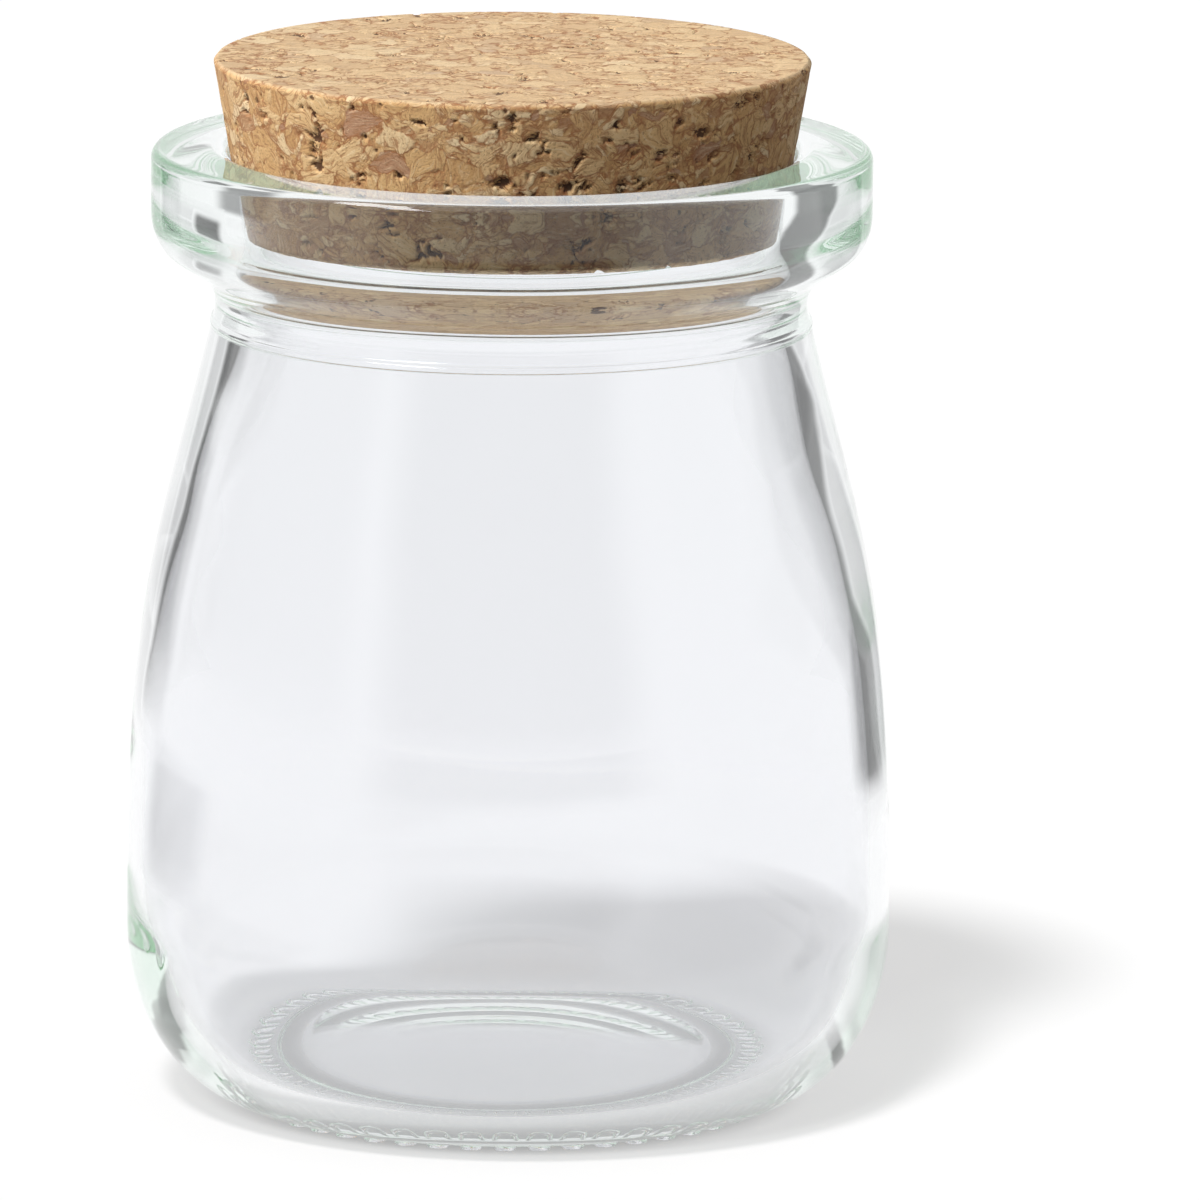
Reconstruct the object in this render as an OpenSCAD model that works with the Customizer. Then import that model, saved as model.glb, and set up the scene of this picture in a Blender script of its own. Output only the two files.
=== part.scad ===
// Glass jar with a tapered cork lid.
// The jar stands on the plane z = 0 and its axis is the Z axis. All lengths are in millimetres.

/* [Jar body] */
// Height of the glass from the table to the top of the rim
jar_h = 70.5; // [62:0.5:100]
// Widest diameter of the jar
belly_d = 56; // [52:0.5:66]
// Height of the widest place above the table
belly_h = 14.7; // [14:0.1:20]
// Diameter of the foot, where the round heel begins
foot_d = 38; // [37:0.5:44]
// Height of the round heel
heel_h = 12.7; // [10:0.1:13.5]
// How long the belly stays full, as a share of the side's height
belly_hold = 0.54; // [0.48:0.01:0.65]
// How long the shoulder keeps the neck's slope, as a share of the side's height
shoulder_hold = 0.38; // [0.3:0.01:0.45]
// How far the side runs out for each millimetre below the neck
neck_slope = 0.24; // [0.18:0.01:0.3]

/* [Mouth and flange] */
// Diameter of the mouth, just below its rounded lip
mouth_d = 40.9; // [38:0.1:44]
// How much smaller the bore's radius is at its foot than at the mouth
bore_draft = 1.1; // [0.2:0.1:1.4]
// Depth of the bore below the rim
bore_depth = 13; // [12:0.1:16]
// Thickness of the neck's wall, measured from the foot of the bore
neck_wall = 2.35; // [2:0.05:3]
// How far below the rim the neck's side and the flange's sloping underside meet
neck_corner_drop = 10.15; // [9.8:0.05:11.5]
// Width of the flange round the mouth
flange_w = 5.85; // [5.2:0.05:7]
// How far below the rim the flange's sloping underside and its side meet
flange_corner_drop = 6.9; // [6:0.1:7.5]
// Radius of the rim's outer edge
rim_r = 1; // [0.5:0.1:1.8]
// Radius of the lip that leads into the mouth
lip_r = 1.5; // [0.8:0.1:2]
// How far the round in the neck's corner starts below it
neck_round_below = 2; // [1.5:0.1:2.2]
// How far the round in the neck's corner runs on along the underside
neck_round_along = 2.4; // [1.5:0.1:2.8]
// How far before the flange's corner the round at its lower edge starts
flange_round_along = 1.8; // [1:0.1:2.1]
// How far above the flange's corner the round at its lower edge ends
flange_round_above = 2.4; // [1.5:0.1:3]

/* [Wall and base] */
// Thickness of the side wall at the belly
wall = 1.35; // [1.2:0.05:2.2]
// How long the inside of the belly stays full, as a share of the inner side's height
inner_belly_hold = 0.5; // [0.42:0.01:0.55]
// How long the inside of the shoulder keeps its slope, as a share of the inner side's height
inner_shoulder_hold = 0.47; // [0.38:0.01:0.5]
// How far the inner side runs out for each millimetre below the bore
inner_slope = 0.28; // [0.2:0.01:0.32]
// Thickness of the base at the foot
base_t = 2.4; // [2.2:0.1:4]
// Radius of the inner floor, where the inner heel begins
floor_r = 18.5; // [16:0.5:19.5]
// How much the inner floor rises to its middle
floor_rise = 1; // [0.3:0.1:1.5]
// How much the push-up under the base rises to its middle
push_up = 1.5; // [0.5:0.1:2]

/* [Parting line] */
// How far the mould's parting line lies below the start of the round in the neck's corner
parting_drop = 0.55; // [0.4:0.05:4]
// How far the parting line stands out from the glass
parting_rise = 0.15; // [0.05:0.05:0.3]
// Radius of the parting line's round section
parting_r = 0.3; // [0.2:0.05:0.5]

/* [Bearing ring] */
// Inner radius of the smooth ring that the jar stands on
ring_inner_r = 15.3; // [14:0.1:15.8]
// Width of the smooth ring that the jar stands on
ring_w = 1.7; // [1:0.1:1.8]
// Number of knurls round the foot
knurl_count = 48; // [24:1:52]
// How far the knurls stand down from the heel, level with the smooth ring
knurl_h = 0.35; // [0.2:0.05:0.5]
// Outer radius of a knurl's bend
knurl_bend_r = 0.85; // [0.75:0.05:0.95]
// Width of the ridge at the middle of a knurl's bend
knurl_bend_w = 0.65; // [0.4:0.05:0.8]
// Width of the ridge along a knurl's two legs
knurl_leg_w = 0.3; // [0.2:0.05:0.4]
// Length of a knurl's two legs, from the centre of its bend
knurl_leg_l = 1.3; // [0.6:0.1:1.5]
// Radius of the circle that the centres of the knurls' bends lie on
knurl_circle_r = 18.95; // [18.8:0.05:19.1]

/* [Cork lid] */
// Height of the cork
cork_h = 11.9; // [10:0.1:16]
// How much larger the cork's top is than the mouth, in radius
cork_over = 1.35; // [1:0.05:2.5]
// How much smaller the cork's bottom is than the mouth, in radius
cork_under = 0.75; // [0.5:0.05:1.5]
// Width of the broken edge round the cork's two ends
cork_edge = 0.3; // [0.1:0.1:1]
// Clearance between the cork's cone and the lip that it rests on
seat_gap = 0.05; // [0.02:0.01:0.1]

/* [Hidden] */
$fn = 96;
belly_r = belly_d / 2;
foot_r = foot_d / 2;
mouth_r = mouth_d / 2;
bore_foot_r = mouth_r - bore_draft;
bore_foot_h = jar_h - bore_depth;
neck_r = bore_foot_r + neck_wall;
neck_h = jar_h - neck_corner_drop - neck_round_below;
flange_r = mouth_r + flange_w;
// The two corners of the flange's underside, before they are rounded, and the slope between them
neck_corner = [neck_r - neck_slope * neck_round_below, jar_h - neck_corner_drop];
flange_corner = [flange_r, jar_h - flange_corner_drop];
under_slope = (flange_corner - neck_corner) / norm(flange_corner - neck_corner);
parting_h = neck_h - parting_drop;
ring_outer_r = ring_inner_r + ring_w;
cork_top_r = mouth_r + cork_over;
cork_bottom_r = mouth_r - cork_under;
cork_taper = atan2(cork_top_r - cork_bottom_r, cork_h);
// The lip's round has its centre here, and the cork's cone passes it at the seat gap
lip_centre = [mouth_r + lip_r, jar_h - lip_r];
cork_reach = (lip_centre.x - cork_bottom_r) * cos(cork_taper) - lip_r - seat_gap;
cork_bottom_h = lip_centre.y - cork_reach / sin(cork_taper);
// Steps along the long curves, the short ones and the small rounds
long_steps = 26;
short_steps = 12;
round_steps = 7;
glass_colour = [0.86, 0.93, 0.91, 0.4];
cork_colour = [0.80, 0.62, 0.40];

// A point on the curve that leaves a towards b and reaches d from c
function curve_point(a, b, c, d, t) =
    a * pow(1 - t, 3) + 3 * b * t * pow(1 - t, 2) + 3 * c * t * t * (1 - t) + d * pow(t, 3);

function curve(a, b, c, d, steps) = [for (i = [0:steps]) curve_point(a, b, c, d, i / steps)];

// A round from a to b that takes the place of a corner
function bend(a, corner, b) =
    curve(a, a + (corner - a) * 2 / 3, b + (corner - b) * 2 / 3, b, round_steps);

// Part of an ellipse round a centre, with its two half axes, between two angles
function oval(centre, half, from, to, steps) = [
    for (i = [0:steps])
        let (angle = from + (to - from) * i / steps)
            [centre.x + half.x * cos(angle), centre.y + half.y * sin(angle)]
];

// A side from the belly up to a narrower place at the top, with its two holds and its upper slope
function side_curve(low, high, hold_low, hold_high, slope) = let (rise = high.y - low.y) curve(
    low,
    [low.x, low.y + hold_low * rise],
    [high.x + slope * hold_high * rise, high.y - hold_high * rise],
    high,
    long_steps
);

// The outside of the side wall, which the parting line sits on
outer_side = side_curve([belly_r, belly_h], [neck_r, neck_h], belly_hold, shoulder_hold, neck_slope);

// The inside of the side wall, thin at the belly and thicker towards the shoulder
inner_side = side_curve(
    [belly_r - wall, belly_h],
    [bore_foot_r, bore_foot_h],
    inner_belly_hold,
    inner_shoulder_hold,
    inner_slope
);

// The outside from the foot to the rounded edge of the rim
outside = concat(
    [[ring_outer_r, 0], [ring_outer_r, knurl_h]],
    oval([foot_r, knurl_h + heel_h], [belly_r - foot_r, heel_h], -90, 0, short_steps),
    outer_side,
    bend([neck_r, neck_h], neck_corner, neck_corner + neck_round_along * under_slope),
    bend(
        flange_corner - flange_round_along * under_slope,
        flange_corner,
        flange_corner + [0, flange_round_above]
    ),
    oval([flange_r - rim_r, jar_h - rim_r], [rim_r, rim_r], 0, 90, round_steps)
);

// The inside from the rounded lip down to the middle of the floor
inside = concat(
    oval(lip_centre, [lip_r, lip_r], 90, 180, round_steps),
    [for (i = [long_steps:-1:0]) inner_side[i]],
    oval([floor_r, belly_h], [belly_r - wall - floor_r, belly_h - base_t], 0, -90, short_steps),
    dome(floor_r, base_t, floor_rise)
);

// A shallow dome from its edge to its middle
function dome(edge_r, edge_h, rise) = [
    for (i = [1:round_steps])
        let (share = i / round_steps)
            [edge_r * (1 - share), edge_h + rise * (1 - pow(1 - share, 2))]
];

// The underside from the middle of the push-up out to the bearing ring
function underside() = let (up = dome(ring_inner_r, 0, push_up)) concat(
    [for (i = [round_steps - 1:-1:0]) up[i]],
    [[ring_inner_r, 0]]
);

// One knurl: a ridge bent like a horseshoe, thickest at its bend, with its legs towards the axis
module knurl() {
    difference() {
        union() {
            cylinder(r = knurl_bend_r, h = 2 * knurl_h);
            translate([-knurl_leg_l, -knurl_bend_r, 0])
                cube([knurl_leg_l, 2 * knurl_bend_r, 2 * knurl_h]);
        }
        translate([knurl_leg_w - knurl_bend_w, 0, -1])
            cylinder(r = knurl_bend_r - knurl_leg_w, h = 2 * knurl_h + 2);
        translate([-2 * knurl_leg_l, knurl_leg_w - knurl_bend_r, -1])
            cube([
                2 * knurl_leg_l + knurl_leg_w - knurl_bend_w,
                2 * (knurl_bend_r - knurl_leg_w),
                2 * knurl_h + 2
            ]);
    }
}

// The ring of knurls round the foot, each with its bend outwards
module knurls() {
    for (i = [0:knurl_count - 1])
        rotate([0, 0, 360 * i / knurl_count])
            translate([knurl_circle_r, 0, 0])
                knurl();
}

// The fine raised line where the neck's mould meets the body's
module parting_line() {
    side_r = lookup(parting_h, [for (p = outer_side) [p.y, p.x]]);
    rotate_extrude()
        translate([side_r + parting_rise - parting_r, parting_h])
            circle(r = parting_r);
}

module jar() {
    color(glass_colour) {
        rotate_extrude()
            polygon(concat(outside, inside, underside()));
        parting_line();
        knurls();
    }
}

module cork_lid() {
    color(cork_colour)
        translate([0, 0, cork_bottom_h])
            rotate_extrude()
                polygon([
                    [0, 0],
                    [cork_bottom_r - cork_edge, 0],
                    [cork_bottom_r + cork_edge * tan(cork_taper), cork_edge],
                    [cork_top_r - cork_edge * tan(cork_taper), cork_h - cork_edge],
                    [cork_top_r - cork_edge, cork_h],
                    [0, cork_h]
                ]);
}

jar();
cork_lid();
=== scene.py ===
# %% [markdown]
# # A glass jar with a cork lid
# The object is two pieces: a small blown jar of clear glass, and a tapered stopper of bonded cork chips.
# Clear glass has almost no colour of its own. It is drawn by its shape, so the jar is modelled as one
# closed skin with a true inside and outside, and the light passes through the wall as it does on the
# real jar. The cork is the opposite: its form is a plain cone, and its looks lie in chips, crevices and
# pits, which are cut into the mesh and coloured by the same recipe.

import math

import bpy
import numpy as np
from mathutils import Matrix, Vector


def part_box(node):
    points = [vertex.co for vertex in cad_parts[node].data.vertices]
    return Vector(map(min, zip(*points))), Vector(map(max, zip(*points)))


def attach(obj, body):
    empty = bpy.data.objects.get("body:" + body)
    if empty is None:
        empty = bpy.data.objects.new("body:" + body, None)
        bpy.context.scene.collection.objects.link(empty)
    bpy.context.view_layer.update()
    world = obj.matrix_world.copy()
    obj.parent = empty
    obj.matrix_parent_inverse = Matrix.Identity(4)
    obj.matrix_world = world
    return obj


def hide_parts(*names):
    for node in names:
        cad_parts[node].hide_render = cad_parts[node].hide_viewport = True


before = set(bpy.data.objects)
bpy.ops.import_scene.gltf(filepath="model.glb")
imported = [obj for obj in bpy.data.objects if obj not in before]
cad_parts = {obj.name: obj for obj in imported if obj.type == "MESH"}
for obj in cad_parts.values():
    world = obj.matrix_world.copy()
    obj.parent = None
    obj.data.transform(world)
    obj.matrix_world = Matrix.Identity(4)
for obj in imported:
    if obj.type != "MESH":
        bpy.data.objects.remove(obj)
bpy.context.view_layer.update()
jar_low, jar_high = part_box("jar")
cork_low, cork_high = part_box("cork_lid")
scene = bpy.context.scene
print("the jar is", round((jar_high.x - jar_low.x) * 1000, 1), "mm wide")
print("the cork's top is", round(cork_high.z * 1000, 2), "mm above the table")

# %% [markdown]
# ## Camera
# The photograph was taken from far away with a long lens, a little above the jar, so the rings of the
# jar look like flat ovals that are slightly rounder at the foot than at the lid. The same distance and
# height give the same ovals here. The camera leans by a third of a degree, as it did there.

# %% Camera
camera_distance = 1.120
camera_height = 0.2554
camera_side = 0.0066
aim_height = 0.0369
camera_roll = math.radians(0.37)
frame_pixels = 1200
pixels_per_radian = 15588

camera_data = bpy.data.cameras.new("camera")
camera_data.sensor_width = 36.0
camera_data.lens = camera_data.sensor_width * pixels_per_radian / frame_pixels
camera = bpy.data.objects.new("camera", camera_data)
scene.collection.objects.link(camera)
camera.location = (camera_side, -camera_distance, camera_height)
look = Vector((camera_side, 0, aim_height)) - camera.location
turn = look.to_track_quat("-Z", "Y").to_matrix() @ Matrix.Rotation(camera_roll, 3, "Z")
camera.rotation_euler = turn.to_euler()
scene.camera = camera
print("lens", round(camera_data.lens, 1), "mm")

# %% [markdown]
# ## Small helpers
# Every length below is written in millimetres, because that is how a jar is drawn, and turned into
# metres once, when a mesh is made. Curves are cubic curves given by two ends and two handles.

# %% Helpers for curves
MM = 0.001


def curve(a, b, c, d, steps):
    """Points on the cubic curve from a to d with handles b and c."""
    t = np.linspace(0, 1, steps + 1)[:, None]
    a, b, c, d = (np.array(p, float) for p in (a, b, c, d))
    return a * (1 - t) ** 3 + 3 * b * t * (1 - t) ** 2 + 3 * c * t**2 * (1 - t) + d * t**3


def bend(a, corner, b, steps):
    """A round from a to b that takes the place of a corner."""
    return curve(a, a + (corner - a) * 2 / 3, b + (corner - b) * 2 / 3, b, steps)


def oval(centre, half, start, end, steps):
    """Part of an ellipse, between two angles in degrees."""
    angle = np.radians(np.linspace(start, end, steps + 1))
    return np.stack([centre[0] + half[0] * np.cos(angle), centre[1] + half[1] * np.sin(angle)], 1)


def smooth(x):
    """Runs from 0 to 1 with no sharp start or stop."""
    x = np.clip(x, 0, 1)
    return x * x * (3 - 2 * x)


# %% [markdown]
# A turned shape is a stack of rings. Most of the jar needs few points round a ring, but its foot has
# fine knurls and the middle of a disc needs hardly any, so a ring may hold a whole number of times more
# points than its neighbour, and the strip between the two is filled with small fans.

# %% Helpers for turned meshes
def strip(low, low_count, high, high_count):
    """Faces between two rings, where one may have a whole number of times more points."""
    if low_count > high_count:
        return [tuple(reversed(face)) for face in strip(high, high_count, low, low_count)]
    times = high_count // low_count
    faces = []
    for i in range(low_count):
        here, after = low + i, low + (i + 1) % low_count
        fine = [high + (i * times + k) % high_count for k in range(times + 1)]
        half = times // 2
        faces += [(here, fine[k + 1], fine[k]) for k in range(half)]
        if times % 2:
            faces.append((here, after, fine[half + 1], fine[half]))
        else:
            faces.append((here, after, fine[half]))
        faces += [(after, fine[k + 1], fine[k]) for k in range(half + times % 2, times)]
    return faces


def turned_mesh(name, rings, first_tip, last_tip):
    """A closed mesh from rings of points in mm, shut at both ends by a point on the axis."""
    points = np.concatenate([[first_tip], *rings, [last_tip]])
    starts = np.cumsum([1] + [len(ring) for ring in rings])
    count = len(rings[0])
    faces = [(0, 1 + (i + 1) % count, 1 + i) for i in range(count)]
    for k in range(len(rings) - 1):
        faces += strip(int(starts[k]), len(rings[k]), int(starts[k + 1]), len(rings[k + 1]))
    count, last, tip = len(rings[-1]), int(starts[-2]), int(starts[-1])
    faces += [(last + i, last + (i + 1) % count, tip) for i in range(count)]
    mesh = bpy.data.meshes.new(name)
    mesh.from_pydata((points * MM).tolist(), [], faces)
    mesh.validate()
    mesh.update()
    mesh.shade_smooth()
    piece = bpy.data.objects.new(name, mesh)
    scene.collection.objects.link(piece)
    print(name, "has", len(mesh.polygons), "faces")
    return piece


def ring_of(radius, height, count):
    """One ring of points round the axis; radius and height may change along it."""
    angle = np.arange(count) * 2 * math.pi / count
    return np.stack([radius * np.cos(angle), radius * np.sin(angle), np.zeros(count) + height], 1)


# %% [markdown]
# ## The jar's outline
# A blown jar is shaped twice. The mould gives the outside, and the breath of air gives the inside, so
# the outside is crisp and the inside is soft and slightly uneven. The wall is thin at the belly, where
# the glass was blown out furthest, and thick in the neck, which was pressed first. The flange is a round
# corner at the neck, a straight slope and another round, because that is how the ring mould is turned.
# Its overall size comes from the frame.

# %% The jar's sizes
rim_h = jar_high.z / MM
belly_r = (jar_high.x - jar_low.x) / 2 / MM
belly_h = 14.7
foot_r = 19.0
heel_h = 12.7
mouth_r = 20.45
bore_foot_r = mouth_r - 1.1
bore_foot_h = rim_h - 13
neck_slope = 0.24
neck_r = bore_foot_r + 2.35
neck_corner = np.array([neck_r - neck_slope * 2, rim_h - 10.15])
neck_h = neck_corner[1] - 2
flange_r = mouth_r + 5.85
flange_corner = np.array([flange_r, rim_h - 6.9])
rim_r = 0.8
lip_r = 1.5
wall = 1.35
base_t = 2.4
floor_r = 18.5
floor_rise = 1.0
push_up = 1.5
ring_inner_r = 15.3
ring_outer_r = 17.0
knurl_h = 0.35
parting_h = neck_h - 0.55
parting_rise = 0.15
parting_half = 0.26
print("belly radius", round(belly_r, 2), "rim height", round(rim_h, 2))


# %% The jar's outline
def side_curve(low, high, hold_low, hold_high, slope, steps):
    """A side from the belly up to a narrower place at the top."""
    rise = high[1] - low[1]
    return curve(
        low,
        (low[0], low[1] + hold_low * rise),
        (high[0] + slope * hold_high * rise, high[1] - hold_high * rise),
        high,
        steps,
    )


def dome(edge_r, edge_h, rise, steps):
    """A shallow dome from near its middle out to its edge."""
    share = np.linspace(0, 1, steps + 1)[1:]
    return np.stack([edge_r * share, edge_h + rise * (1 - share**2)], 1)


push_up_line = dome(ring_inner_r, 0, push_up, 20)
outer_side = side_curve((belly_r, belly_h), (neck_r, neck_h), 0.54, 0.38, neck_slope, 150)
parting_line = np.linspace(parting_h - parting_half, parting_h + parting_half, 25)
side_h = np.union1d(outer_side[:, 1], parting_line)
side_r = np.interp(side_h, outer_side[:, 1], outer_side[:, 0])
near_parting = np.clip(1 - ((side_h - parting_h) / parting_half) ** 2, 0, 1)
outer_side = np.stack([side_r + parting_rise * np.sqrt(near_parting), side_h], 1)
heel = oval((foot_r, knurl_h + heel_h), (belly_r - foot_r, heel_h), -90, 0, 48)
under = (flange_corner - neck_corner) / np.hypot(*(flange_corner - neck_corner))
neck_bend = bend(np.array([neck_r, neck_h]), neck_corner, neck_corner + under * 2.4, 20)
flange_bend = bend(flange_corner - under * 1.8, flange_corner, flange_corner + (0, 2.4), 20)
underside = np.concatenate([neck_bend, np.linspace(neck_bend[-1], flange_bend[0], 8)[1:-1], flange_bend])
flange_side = np.linspace(flange_bend[-1], (flange_r, rim_h - rim_r), 8)[1:]
rim_edge = oval((flange_r - rim_r, rim_h - rim_r), (rim_r, rim_r), 0, 90, 12)
rim_top = np.linspace((flange_r - rim_r, rim_h), (mouth_r + lip_r, rim_h), 8)[1:-1]
lip = oval((mouth_r + lip_r, rim_h - lip_r), (lip_r, lip_r), 90, 180, 16)
inner_side = side_curve((belly_r - wall, belly_h), (bore_foot_r, bore_foot_h), 0.50, 0.47, 0.28, 110)[::-1]
bore = np.linspace(lip[-1], inner_side[0], 18)[1:-1]
inner_heel = oval((floor_r, belly_h), (belly_r - wall - floor_r, belly_h - base_t), 0, -90, 40)
floor_line = dome(floor_r, base_t, floor_rise, 20)[::-1]
print("outline points outside:", len(heel) + len(outer_side) + len(underside))

# %% [markdown]
# ## The jar's foot
# The jar stands on a smooth ring. Outside it lies a row of small ridges bent like horseshoes, which keep
# the hot glass from sliding and from cooling unevenly on the conveyor. Seen through the heel, which acts
# as a mirror from inside, each one shows as a little arch. They are too fine to be cut from the mesh of
# the body, so this band gets four times as many points, and the ridges are lifted out of it by how deep
# a point lies inside the horseshoe's outline. That gives soft edges, as pressed glass has.

# %% The foot's height at any radius and angle
knurl_count = 48
knurl_bend_r = 0.85
knurl_bend_w = 0.65
knurl_leg_w = 0.3
knurl_leg_l = 1.3
knurl_circle_r = 18.95


def foot_height(radius, angle):
    """How high the underside lies above the table, with its knurls."""
    recess = knurl_h * smooth((radius - ring_outer_r + 0.12) / 0.24)
    out = np.clip((radius - foot_r) / (belly_r - foot_r), 0, 1)
    level = recess + heel_h * (1 - np.sqrt(1 - out**2))
    step = 2 * math.pi / knurl_count
    side = (angle + step / 2) % step - step / 2
    x = radius * np.cos(side) - knurl_circle_r
    y = np.abs(radius * np.sin(side))
    inner_r = knurl_bend_r - knurl_leg_w
    inner_x = knurl_leg_w - knurl_bend_w
    taper = 0.5 * knurl_leg_w * np.clip((inner_x - x) / (knurl_leg_l + inner_x), 0, 1)
    from_outside = knurl_bend_r - np.hypot(np.maximum(x, 0), y)
    from_inside = np.hypot(np.maximum(x - inner_x, 0), y) - inner_r - taper
    from_end = x + knurl_leg_l
    depth = np.minimum(np.minimum(from_outside, from_inside), from_end)
    return np.maximum(level - knurl_h * smooth((depth + 0.02) / 0.14), 0)


def foot_ring(radius, count):
    """One ring of the underside."""
    angle = np.arange(count) * 2 * math.pi / count
    return ring_of(np.full(count, radius), foot_height(np.full(count, radius), angle), count)


# %% [markdown]
# ## The blown inside
# No mould touches the inside of a blown jar, so its wall is never perfectly even. It is a little thicker
# on one side at the shoulder, and slow waves of a few hundredths of a millimetre run through it. Both
# bend what is seen through the wall, as real glass does.

# %% Helpers for the inside
def breath(angle, height):
    """How far the inner wall strays from its outline, in mm."""
    lean = 0.12 * smooth((height - 6) / 10) * smooth((57 - height) / 6)
    lean += 0.26 * math.exp(-(((height - 47) / 4.5) ** 2))
    return (
        -lean * np.cos(angle)
        + 0.030 * np.sin(2 * angle + 0.9 + height * 0.05)
        + 0.022 * np.sin(5 * angle + 2.0 - height * 0.13)
        + 0.014 * np.sin(9 * angle + 4.0 + height * 0.21)
        + 0.020 * np.sin(3 * angle + height * 0.60)
    )


def inner_ring(point, count, share):
    """One ring of the inside; share says how much of the waves it gets."""
    angle = np.arange(count) * 2 * math.pi / count
    return ring_of(point[0] + share * breath(angle, point[1]), point[1], count)


# %% The jar
body_count = 384
band_count = 4 * body_count
band = np.arange(16.2, 20.4, 0.07)

rings = [ring_of(np.full(body_count, r), h, body_count) for r, h in push_up_line]
rings += [foot_ring(r, body_count) for r in (15.6, 15.9)]
rings += [foot_ring(r, band_count) for r in band]
rings += [foot_ring(20.5, 2 * body_count)]
outside = np.concatenate([heel, outer_side[1:], underside[1:], flange_side, rim_edge[1:], rim_top, lip])
rings += [ring_of(np.full(body_count, r), h, body_count) for r, h in outside if r > 20.7 or h > 20]
for point in np.concatenate([bore, inner_side]):
    rings.append(inner_ring(point, body_count, smooth((rim_h - 3 - point[1]) / 6)))
for point in np.concatenate([inner_heel[1:], floor_line[1:-1]]):
    rings.append(inner_ring(point, body_count, smooth((point[0] - 4) / 10)))
jar = turned_mesh("glass_jar", rings, (0, 0, push_up), (0, 0, base_t + floor_rise))

# %% [markdown]
# ## Building materials
# Materials are trees of small steps. One helper adds a step, sets its plain numbers and wires its inputs,
# so that each material below reads from top to bottom like a recipe.

# %% Helper for node trees
def add(tree, kind, inputs=None, **settings):
    """Adds a node; an input that is a socket is wired, anything else is set."""
    made = tree.nodes.new(kind)
    for name, value in settings.items():
        setattr(made, name, value)
    for name, value in (inputs or {}).items():
        if isinstance(value, bpy.types.NodeSocket):
            tree.links.new(value, made.inputs[name])
        else:
            made.inputs[name].default_value = value
    return made


def maths(tree, operation, *values, clamp=False):
    """One step of arithmetic, which gives a value."""
    step = add(tree, "ShaderNodeMath", dict(enumerate(values)), operation=operation, use_clamp=clamp)
    return step.outputs[0]


def vector(tree, operation, *values):
    """One step of vector arithmetic, which gives a vector."""
    return add(tree, "ShaderNodeVectorMath", dict(enumerate(values)), operation=operation).outputs[0]


def ramp_to(tree, value, low, high, at_low=0.0, at_high=1.0):
    """Follows a value smoothly from one level to another."""
    inputs = {"Value": value, "From Min": low, "From Max": high, "To Min": at_low, "To Max": at_high}
    return add(tree, "ShaderNodeMapRange", inputs, interpolation_type="SMOOTHSTEP").outputs[0]


def new_material(name):
    """An empty material and its output."""
    made = bpy.data.materials.new(name)
    made.use_nodes = True
    made.node_tree.nodes.clear()
    return made, made.node_tree, add(made.node_tree, "ShaderNodeOutputMaterial")


# %% [markdown]
# ## Clear glass
# Soda-lime glass bends light by an index of 1.52 and is very slightly green where light has to pass a
# long way through it, as it does in the heel. The surface is fire polished, with a very slow ripple left
# by the mould and a hardly visible haze from handling. Lamps would only reach the cork and the table
# through bent light, which is slow to compute, so shadow rays pass straight through a pale film instead.

# %% The glass material
glass, tree, glass_out = new_material("clear_glass")
place = add(tree, "ShaderNodeTexCoord").outputs["Object"]
ripple = add(tree, "ShaderNodeTexNoise", {"Vector": place, "Scale": 55.0, "Detail": 1.0, "Roughness": 0.3})
haze = add(tree, "ShaderNodeTexNoise", {"Vector": place, "Scale": 140.0, "Detail": 4.0})
# Painted reflection: the lavender grey of the base colour dims the glass as the reflection of a darker, bluish
# studio would.
glass_shader = add(
    tree,
    "ShaderNodeBsdfPrincipled",
    {
        "Base Color": (0.935, 0.938, 0.956, 1),
        "IOR": 1.52,
        "Transmission Weight": 1.0,
        "Roughness": ramp_to(tree, haze.outputs[0], 0.45, 0.75, 0.0, 0.012),
    },
)
ripple_bump = add(tree, "ShaderNodeBump", {"Strength": 0.25, "Distance": 0.0001, "Height": ripple.outputs[0]})
tree.links.new(ripple_bump.outputs[0], glass_shader.inputs["Normal"])
film = add(tree, "ShaderNodeBsdfTransparent", {"Color": (0.60, 0.61, 0.61, 1)})
path = add(tree, "ShaderNodeLightPath")
soft_light = maths(tree, "MAXIMUM", path.outputs["Is Shadow Ray"], path.outputs["Is Diffuse Ray"])
choice = add(tree, "ShaderNodeMixShader", {0: soft_light, 1: glass_shader.outputs[0], 2: film.outputs[0]})
tree.links.new(choice.outputs[0], glass_out.inputs["Surface"])
inside_glass = add(tree, "ShaderNodeVolumeAbsorption", {"Color": (0.30, 0.82, 0.42, 1), "Density": 3.2})
tree.links.new(inside_glass.outputs[0], glass_out.inputs["Volume"])

jar.data.materials.append(glass)
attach(jar, "jar")
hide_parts("jar")

# %% [markdown]
# ## The cork lid
# The lid is ground to a cone from a block of cork chips bonded under pressure. The chips are curved
# flakes three to eight millimetres long, with finer crumbs between them. Where three chips meet, a
# wedge-shaped crevice stays open. The same recipe of cells decides both where the surface is cut and
# how it is coloured, so it is written once and built in two kinds of tree.

# %% The plain cone
cork_top_r = mouth_r + 1.35
cork_bottom_r = mouth_r - 0.75
cork_top_h = cork_high.z / MM
cork_bottom_h = cork_low.z / MM - 0.3
cork_edge = 0.3
cork_slope = (cork_top_r - cork_bottom_r) / (cork_top_h - cork_bottom_h)
fine_count = 960


def disc_rings(radius, height, step, count):
    """Rings from near the middle of a disc out to its edge, with fewer points near the middle."""
    made = []
    for r in np.linspace(radius / round(radius / step), radius, round(radius / step)):
        points = count if r > radius * 0.5 else count // 2 if r > radius * 0.2 else count // 4
        made.append(ring_of(np.full(points, r), height, points))
    return made


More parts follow.
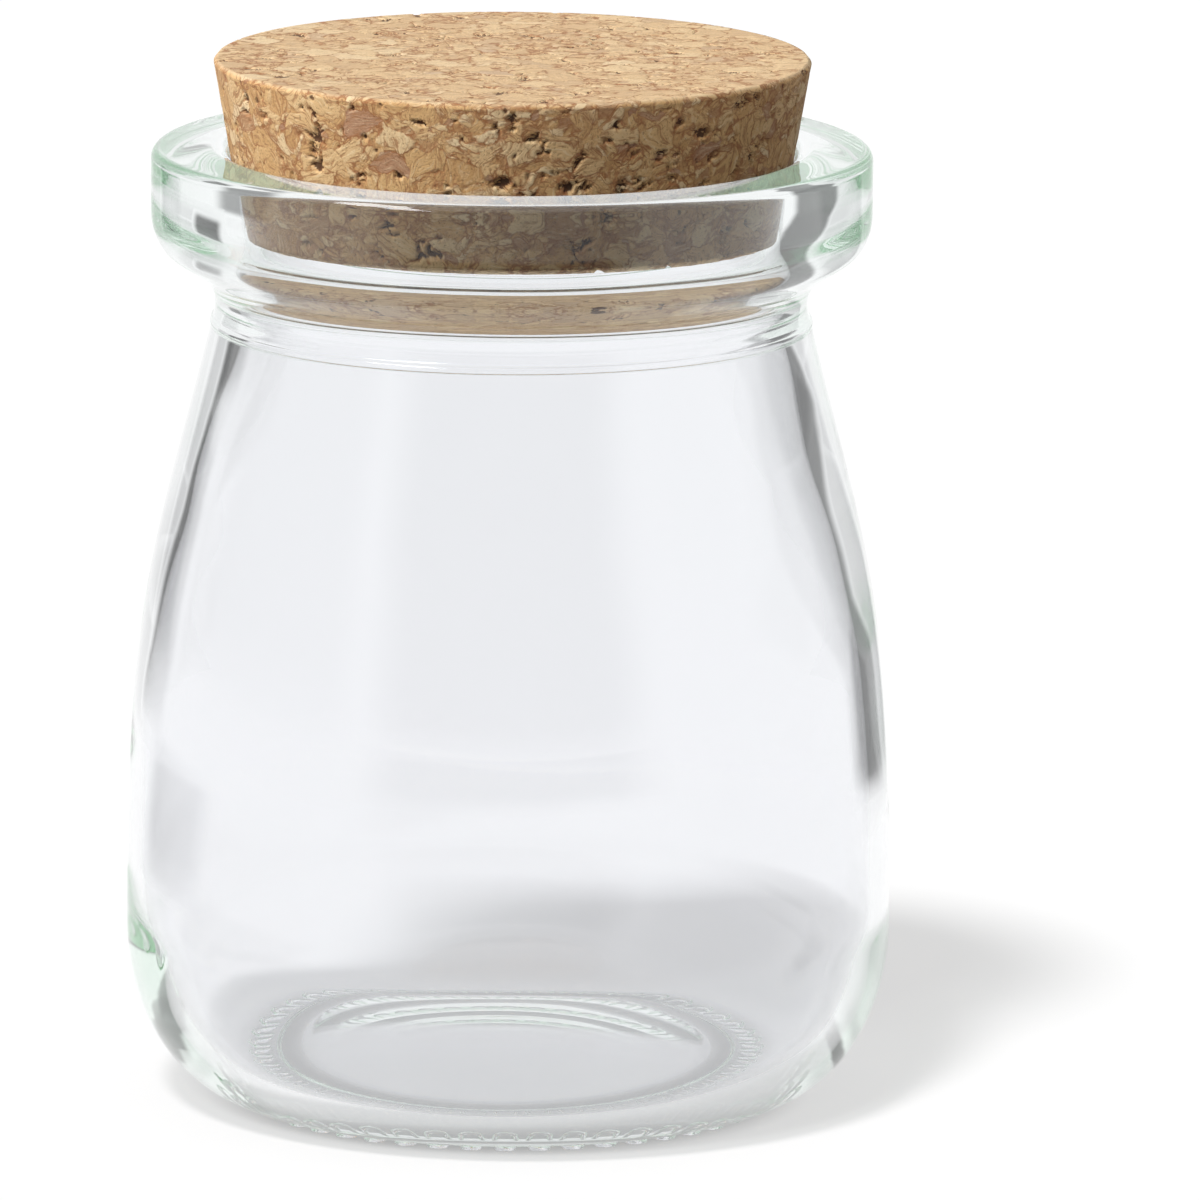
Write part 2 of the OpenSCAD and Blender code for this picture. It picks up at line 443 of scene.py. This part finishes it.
cork_side = np.linspace(
    (cork_bottom_r + cork_edge * cork_slope, cork_bottom_h + cork_edge),
    (cork_top_r - cork_edge * cork_slope, cork_top_h - cork_edge),
    84,
)
cork_rings = disc_rings(cork_bottom_r - cork_edge, cork_bottom_h, 0.3, fine_count // 2)
cork_rings += [ring_of(np.full(fine_count, r), h, fine_count) for r, h in cork_side]
cork_rings += disc_rings(cork_top_r - cork_edge, cork_top_h, 0.16, fine_count)[::-1]
cork = turned_mesh("cork_stopper", cork_rings, (0, 0, cork_bottom_h), (0, 0, cork_top_h))


# %% The recipe of chips
def wander(tree, place, scale, detail, reach):
    """Moves a place by up to a given reach in mm, so that straight cells become curved ones."""
    drift = add(tree, "ShaderNodeTexNoise", {"Vector": place, "Scale": scale, "Detail": detail}).outputs["Color"]
    drift = vector(tree, "SUBTRACT", drift, (0.5, 0.5, 0.5))
    return vector(tree, "ADD", place, vector(tree, "MULTIPLY", drift, (reach, reach, reach)))


def cell_set(tree, place, scale):
    """Chips of one size: three dice for each chip, and how far in mm its edge is."""
    chip = add(tree, "ShaderNodeTexVoronoi", {"Vector": place, "Scale": scale}, feature="F1")
    near = add(tree, "ShaderNodeTexVoronoi", {"Vector": place, "Scale": scale}, feature="DISTANCE_TO_EDGE")
    dice = add(tree, "ShaderNodeSeparateXYZ", {0: chip.outputs["Color"]})
    return dice.outputs, maths(tree, "DIVIDE", near.outputs["Distance"], scale)


def pick(tree, share, first, second):
    """Goes from the first value to the second as the share goes from 0 to 1."""
    return add(tree, "ShaderNodeMix", {0: share, 2: first, 3: second}, data_type="FLOAT").outputs[0]


def chips(tree, place, soften):
    """From a place in mm to the masks of crevices and pits, a tone for each chip, and its streaks."""
    bowed = wander(tree, place, 0.40, 1.0, 2.6)
    curled = wander(tree, bowed, 1.6, 2.0, 0.8)
    pressed = vector(tree, "MULTIPLY", curled, (1.0, 1.0, 1.7))
    flake_dice, flake_edge = cell_set(tree, pressed, 0.42)
    crumb_dice, crumb_edge = cell_set(tree, pressed, 1.10)
    crumbly = maths(tree, "GREATER_THAN", flake_dice[0], 0.50)
    edge = pick(tree, crumbly, flake_edge, maths(tree, "MINIMUM", flake_edge, crumb_edge))
    tone = pick(tree, crumbly, flake_dice[1], crumb_dice[1])
    gaps = add(tree, "ShaderNodeTexNoise", {"Vector": place, "Scale": 0.60, "Detail": 3.0}).outputs[0]
    width = maths(tree, "ADD", ramp_to(tree, gaps, 0.58, 0.78, 0.0, 0.34), soften)
    crevice = ramp_to(tree, maths(tree, "SUBTRACT", edge, width), -0.08, 0.02, 1.0, 0.0)
    crevice = maths(tree, "MULTIPLY", crevice, ramp_to(tree, gaps, 0.55, 0.62))
    pit_cells = add(tree, "ShaderNodeTexVoronoi", {"Vector": wander(tree, place, 2.5, 1.0, 0.4), "Scale": 0.9})
    pit_dice = add(tree, "ShaderNodeSeparateXYZ", {0: pit_cells.outputs["Color"]})
    pit_size = ramp_to(tree, pit_dice.outputs[2], 0.74, 1.0, 0.0, 0.22)
    pit = ramp_to(tree, maths(tree, "SUBTRACT", pit_cells.outputs["Distance"], pit_size), -0.10, 0.03, 1.0, 0.0)
    own_turn = maths(tree, "MULTIPLY", tone, 9.0)
    fibre = add(
        tree,
        "ShaderNodeVectorRotate",
        {"Vector": bowed, "Axis": (0.62, 0.66, 0.42), "Angle": own_turn},
        rotation_type="AXIS_ANGLE",
    ).outputs[0]
    fibre = vector(tree, "MULTIPLY", fibre, (0.50, 0.50, 3.4))
    streak = add(
        tree, "ShaderNodeTexNoise", {"Vector": fibre, "Scale": 1.5, "Detail": 6.0, "Roughness": 0.66}
    ).outputs[0]
    return {"crevice": crevice, "pit": pit, "tone": tone, "streak": streak, "edge": edge}


# %% [markdown]
# The surface is only ever cut inwards, because the block was ground to its size and no chip can stand
# out of it. The mesh keeps where each point lay before it was cut, and the colours are read from there,
# so the painted shade in a crevice lies exactly where it is deep.

# %% Cutting the surface
before = np.empty(len(cork.data.vertices) * 3)
cork.data.vertices.foreach_get("co", before)
kept = cork.data.attributes.new("ground_place", "FLOAT_VECTOR", "POINT")
kept.data.foreach_set("vector", before / MM)

cutter = bpy.data.node_groups.new("cut_cork", "GeometryNodeTree")
cutter.interface.new_socket("Geometry", in_out="INPUT", socket_type="NodeSocketGeometry")
cutter.interface.new_socket("Geometry", in_out="OUTPUT", socket_type="NodeSocketGeometry")
coming = add(cutter, "NodeGroupInput")
place = add(cutter, "GeometryNodeInputNamedAttribute", {"Name": "ground_place"}, data_type="FLOAT_VECTOR")
chip = chips(cutter, place.outputs["Attribute"], 0.06)
chip_step = ramp_to(cutter, chip["tone"], 0.0, 1.0, 0.035, 0.0)
deep = maths(cutter, "MULTIPLY", chip["crevice"], 0.26)
deep = maths(cutter, "ADD", deep, maths(cutter, "MULTIPLY", chip["pit"], 0.15))
deep = maths(cutter, "ADD", deep, chip_step)
deep = maths(cutter, "ADD", deep, maths(cutter, "MULTIPLY", chip["streak"], 0.035))
level = add(cutter, "ShaderNodeSeparateXYZ", {0: place.outputs["Attribute"]}).outputs[2]
whole = maths(cutter, "MINIMUM", maths(cutter, "SUBTRACT", cork_top_h, level), maths(cutter, "SUBTRACT", level, cork_bottom_h))
edge_share = ramp_to(cutter, maths(cutter, "ABSOLUTE", maths(cutter, "SUBTRACT", whole, 0.15)), 0.0, 0.5, 0.35, 1.0)
deep = maths(cutter, "MULTIPLY", maths(cutter, "MULTIPLY", deep, edge_share), -MM)
normal = add(cutter, "GeometryNodeInputNormal").outputs[0]
offset = add(cutter, "ShaderNodeVectorMath", {0: normal, "Scale": deep}, operation="SCALE").outputs[0]
moved = add(cutter, "GeometryNodeSetPosition", {"Geometry": coming.outputs[0], "Offset": offset})
add(cutter, "NodeGroupOutput", {0: moved.outputs[0]})

cut = cork.modifiers.new("cut_cork", "NODES")
cut.node_group = cutter
bpy.context.view_layer.update()
solid = cork.evaluated_get(bpy.context.evaluated_depsgraph_get())
cut_mesh = bpy.data.meshes.new_from_object(solid)
cork.modifiers.clear()
cork.data = cut_mesh
cut_mesh.shade_smooth()
after = np.empty(len(cut_mesh.vertices) * 3)
cut_mesh.vertices.foreach_get("co", after)
depth = np.linalg.norm((after - before).reshape(-1, 3), axis=1) / MM
print("cut depth in mm: middle", round(float(np.median(depth)), 3), "deepest", round(float(depth.max()), 3))

# %% The cork material
cork_material, tree, cork_out = new_material("cork")
place = add(tree, "ShaderNodeAttribute", attribute_name="ground_place").outputs["Vector"]
chip = chips(tree, place, 0.0)
colours = add(tree, "ShaderNodeValToRGB", {0: chip["tone"]})
stops = [
    (0.00, (0.490, 0.270, 0.165)),
    (0.06, (0.540, 0.300, 0.145)),
    (0.16, (0.630, 0.360, 0.150)),
    (0.50, (0.740, 0.460, 0.205)),
    (0.80, (0.810, 0.550, 0.280)),
    (1.00, (0.880, 0.660, 0.390)),
]
ramp = colours.color_ramp
while len(ramp.elements) < len(stops):
    ramp.elements.new(0.5)
for element, (at, colour) in zip(ramp.elements, stops):
    element.position = at
    element.color = (*colour, 1)


def blend(base, colour, share):
    """Lays one colour over another."""
    step = add(tree, "ShaderNodeMix", {0: share, 6: base, 7: colour}, data_type="RGBA")
    return step.outputs[2]


grain = add(tree, "ShaderNodeTexNoise", {"Vector": place, "Scale": 5.5, "Detail": 5.0}).outputs[0]
patch = add(tree, "ShaderNodeTexNoise", {"Vector": place, "Scale": 0.9, "Detail": 3.0}).outputs[0]
height = add(tree, "ShaderNodeSeparateXYZ", {0: place}).outputs[2]
# Painted sheen: the flat top and bottom are painted paler, standing in for the pale gloss the top shows when seen
# from a low angle.
painted_end_sheen = ramp_to(tree, height, cork_top_h - 0.25, cork_top_h - 0.02)
painted_end_sheen = maths(tree, "MAXIMUM", painted_end_sheen, ramp_to(tree, height, cork_bottom_h + 0.02, cork_bottom_h + 0.25, 1.0, 0.0))
skin = blend(colours.outputs[0], (0.42, 0.20, 0.085, 1), ramp_to(tree, chip["streak"], 0.50, 0.38, 0.0, 0.80))
skin = blend(skin, (0.94, 0.74, 0.46, 1), ramp_to(tree, chip["streak"], 0.53, 0.68, 0.0, 0.50))
skin = blend(skin, (0.28, 0.13, 0.06, 1), ramp_to(tree, grain, 0.45, 0.30, 0.0, 0.60))
outline = ramp_to(tree, chip["edge"], 0.0, 0.17, 1.0, 0.0)
outline = maths(tree, "MULTIPLY", outline, ramp_to(tree, patch, 0.38, 0.58, 0.15, 0.90))
skin = blend(skin, (0.80, 0.65, 0.43, 1), maths(tree, "MULTIPLY", painted_end_sheen, 0.42))
skin = blend(skin, (0.36, 0.145, 0.055, 1), outline)
# Painted shade: pits and crevices are cut only a fraction of a millimetre deep, and their dark colour stands in for
# the shade inside them.
skin = blend(skin, (0.13, 0.058, 0.028, 1), maths(tree, "MULTIPLY", chip["pit"], 0.85))
skin = blend(skin, (0.085, 0.036, 0.018, 1), maths(tree, "MULTIPLY", chip["crevice"], 0.92))
relief = maths(tree, "ADD", chip["streak"], maths(tree, "MULTIPLY", grain, 0.8))
cork_bump = add(tree, "ShaderNodeBump", {"Strength": 0.55, "Distance": 0.00012, "Height": relief})
cork_shader = add(
    tree,
    "ShaderNodeBsdfPrincipled",
    {
        "Base Color": skin,
        "Roughness": ramp_to(tree, grain, 0.3, 0.7, 0.92, 0.74),
        "Specular IOR Level": 0.35,
        "Normal": cork_bump.outputs[0],
    },
)
tree.links.new(cork_shader.outputs[0], cork_out.inputs["Surface"])
cork.data.materials.clear()
cork.data.materials.append(cork_material)
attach(cork, "lid")
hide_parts("cork_lid")

# %% [markdown]
# ## Table and light
# The set is a white table under plain studio light. A lamp above and behind the camera throws the jar's
# shadow back and to the right. A wide soft lamp at the left gives the cork its light and dark side; it
# is a fill that lights only the cork, so it throws no second shadow on the table. The table's colour is
# pale only in a disc round the jar, a painted pool of light, and fades into the white surround, and it
# glows a little for the camera, which keeps it white round the shadow.

# %% Table
table_radius = 0.85
painted_pool_inner, painted_pool_outer = 0.10, 0.17
table_albedo = 0.80
table_light = 0.53
painted_glow_far = 0.45
painted_foot_shade = 0.45
painted_glow_under_jar = 16.0
rim_angles = np.arange(96) * 2 * math.pi / 96
table_mesh = bpy.data.meshes.new("table")
table_points = [(table_radius * math.cos(a), table_radius * math.sin(a), 0) for a in rim_angles]
table_mesh.from_pydata(table_points, [], [tuple(range(96))])
table = bpy.data.objects.new("table", table_mesh)
scene.collection.objects.link(table)
paper, tree, paper_out = new_material("white_table")
path = add(tree, "ShaderNodeLightPath")
seen = maths(tree, "MAXIMUM", path.outputs["Is Camera Ray"], path.outputs["Is Glossy Ray"])
seen = maths(tree, "MAXIMUM", seen, path.outputs["Is Transmission Ray"])
spot = add(tree, "ShaderNodeTexCoord").outputs["Object"]
away = add(tree, "ShaderNodeVectorMath", {0: spot}, operation="LENGTH").outputs["Value"]
albedo = ramp_to(tree, away, painted_pool_inner, painted_pool_outer, table_albedo, 0.02)
glow = maths(tree, "SUBTRACT", 1.03, maths(tree, "MULTIPLY", albedo, table_light))
# Painted shadow: a ring under the foot is made darker for the camera, as a contact shadow.
painted_foot_shadow = maths(tree, "MULTIPLY", ramp_to(tree, away, 0.0140, 0.0165), ramp_to(tree, away, 0.0225, 0.0175))
glow = maths(tree, "MULTIPLY", glow, maths(tree, "SUBTRACT", 1.0, maths(tree, "MULTIPLY", painted_foot_shadow, painted_foot_shade)))
glow = maths(tree, "MULTIPLY", seen, glow)
# Painted bounce light: the table also glows for bounced light, strongly under the jar, which brightens the cork's
# underside and lower side seen through the glass.
painted_bounce_light = maths(tree, "MULTIPLY", albedo, ramp_to(tree, away, 0.016, 0.026, painted_glow_under_jar, painted_glow_far))
painted_bounce_light = maths(tree, "MULTIPLY", painted_bounce_light, path.outputs["Is Diffuse Ray"])
paper_shader = add(
    tree,
    "ShaderNodeBsdfPrincipled",
    {
        "Base Color": albedo,
        "Roughness": 0.9,
        "Specular IOR Level": 0.0,
        "Emission Color": (1, 1, 1, 1),
        "Emission Strength": maths(tree, "ADD", glow, painted_bounce_light),
    },
)
tree.links.new(paper_shader.outputs[0], paper_out.inputs["Surface"])
table_mesh.materials.append(paper)


# %% Lamps and surround
def lamp(name, towards, strength, width):
    """A lamp far away, from a direction as seen by the jar; a strength of pi lights a surface fully."""
    data = bpy.data.lights.new(name, "SUN")
    data.energy = strength
    data.angle = math.radians(width)
    made = bpy.data.objects.new(name, data)
    scene.collection.objects.link(made)
    made.rotation_euler = Vector(towards).to_track_quat("Z", "Y").to_euler()
    made.visible_glossy = False
    made.visible_transmission = False
    return made


lamp("key", (-0.25, -0.62, 1.0), 1.55, 9)
fills = [lamp("fill_left", (-1.0, -0.30, 0.6), 2.9, 30), lamp("fill_right", (1.0, -0.15, 0.3), 0.36, 40)]
lit_by_fill = bpy.data.collections.new("lit_by_fill")
lit_by_fill.objects.link(cork)
for fill in fills:
    fill.light_linking.receiver_collection = lit_by_fill

studio = bpy.data.worlds.new("studio")
scene.world = studio
studio.use_nodes = True
tree = studio.node_tree
path = add(tree, "ShaderNodeLightPath")
surround = add(
    tree, "ShaderNodeMix", {0: path.outputs["Is Diffuse Ray"], 2: 1.0, 3: 0.12}, data_type="FLOAT"
)
background = tree.nodes["Background"]
background.inputs["Color"].default_value = (1, 1, 1, 1)
tree.links.new(surround.outputs[0], background.inputs["Strength"])

# %% [markdown]
# Clear glass before a white wall has no edges until something dark stands beside it. Photographers put
# dark sheets left and right of the jar, out of the picture. The wall bends them into the thin dark lines
# along the shoulder. Here the sheets are seen only in and through the glass, and light nothing. Their
# edges fade to white, so the lines that they make are soft.

# %% Sheets beside the jar
def sheet(name, stations, level, soft):
    """A sheet bent round the set through stations, each (azimuth, azimuth, distance, height).

    The azimuths are in degrees from straight behind the jar, to the right, and the lengths are in mm.
    Soft gives the share of the width and of the height that fades out at each edge.
    """
    across, up = 32, 24
    stations = np.array(stations, float)
    knots = np.linspace(0, 1, len(stations))
    points, levels = [], []
    for j in range(up + 1):
        left, right, away, height = (np.interp(j / up, knots, column) for column in stations.T)
        for i in range(across + 1):
            turned = math.radians(left + (right - left) * i / across)
            points.append((away * math.sin(turned) * MM, away * math.cos(turned) * MM, height * MM))
            inside = smooth(min(i, across - i) / across / soft[0]) * smooth(min(j, up - j) / up / soft[1])
            levels.append(1 + (level - 1) * float(inside))
    row = across + 1
    faces = [(j * row + i, j * row + i + 1, (j + 1) * row + i + 1, (j + 1) * row + i)
             for j in range(up) for i in range(across)]
    mesh = bpy.data.meshes.new(name)
    mesh.from_pydata(points, [], faces)
    mesh.attributes.new("level", "FLOAT", "POINT").data.foreach_set("value", levels)
    made = bpy.data.objects.new(name, mesh)
    scene.collection.objects.link(made)
    made.visible_camera = False
    made.visible_diffuse = False
    made.visible_shadow = False
    coat, tree, coat_out = new_material(name)
    bright = add(tree, "ShaderNodeAttribute", attribute_name="level").outputs["Fac"]
    glow = add(tree, "ShaderNodeEmission", {"Color": (1, 1, 1, 1), "Strength": bright})
    tree.links.new(glow.outputs[0], coat_out.inputs["Surface"])
    mesh.materials.append(coat)
    return made


sheet("dark_sheet_left", [(-56, -34, 250, 2), (-56, -34, 250, 110)], 0.12, (0.22, 0.20))
sheet("dark_paper_left", [(-86, -48, 95, 1), (-86, -48, 210, 1)], 0.35, (0.25, 0.25))
sheet("grey_wall_left", [(-135, -62, 520, 1), (-135, -62, 520, 700)], 0.62, (0.20, 0.10))
sheet("dark_sheet_right", [(24, 58, 115, 1), (28, 64, 115, 28), (39, 74, 115, 44), (60, 102, 115, 120)], 0.24, (0.14, 0.10))
sheet("grey_floor_left", [(-56, -12, 190, 1), (-56, -12, 845, 1)], 0.80, (0.30, 0.20))
sheet("grey_back_left", [(-56, -12, 845, 1), (-56, -12, 845, 800)], 0.80, (0.30, 0.04))
sheet("grey_floor_right", [(12, 40, 190, 1), (12, 40, 845, 1)], 0.86, (0.30, 0.20))
sheet("grey_back_right", [(12, 40, 845, 1), (12, 40, 845, 800)], 0.86, (0.30, 0.04))
sheet("dark_floor_front", [(130, 230, 270, 1), (130, 230, 850, 1)], 0.15, (0.20, 0.12))
sheet("dark_room_front", [(130, 230, 850, 1), (130, 230, 850, 900)], 0.15, (0.20, 0.05))
bright = sheet("bright_sheet", [(-157, -121, 600, 430), (-125, -85, 300, 777)], 14.0, (0.08, 0.08))
bright.visible_transmission = False

scene.view_settings.view_transform = "Standard"
scene.cycles.max_bounces = 256
scene.cycles.glossy_bounces = 256
scene.cycles.transmission_bounces = 256
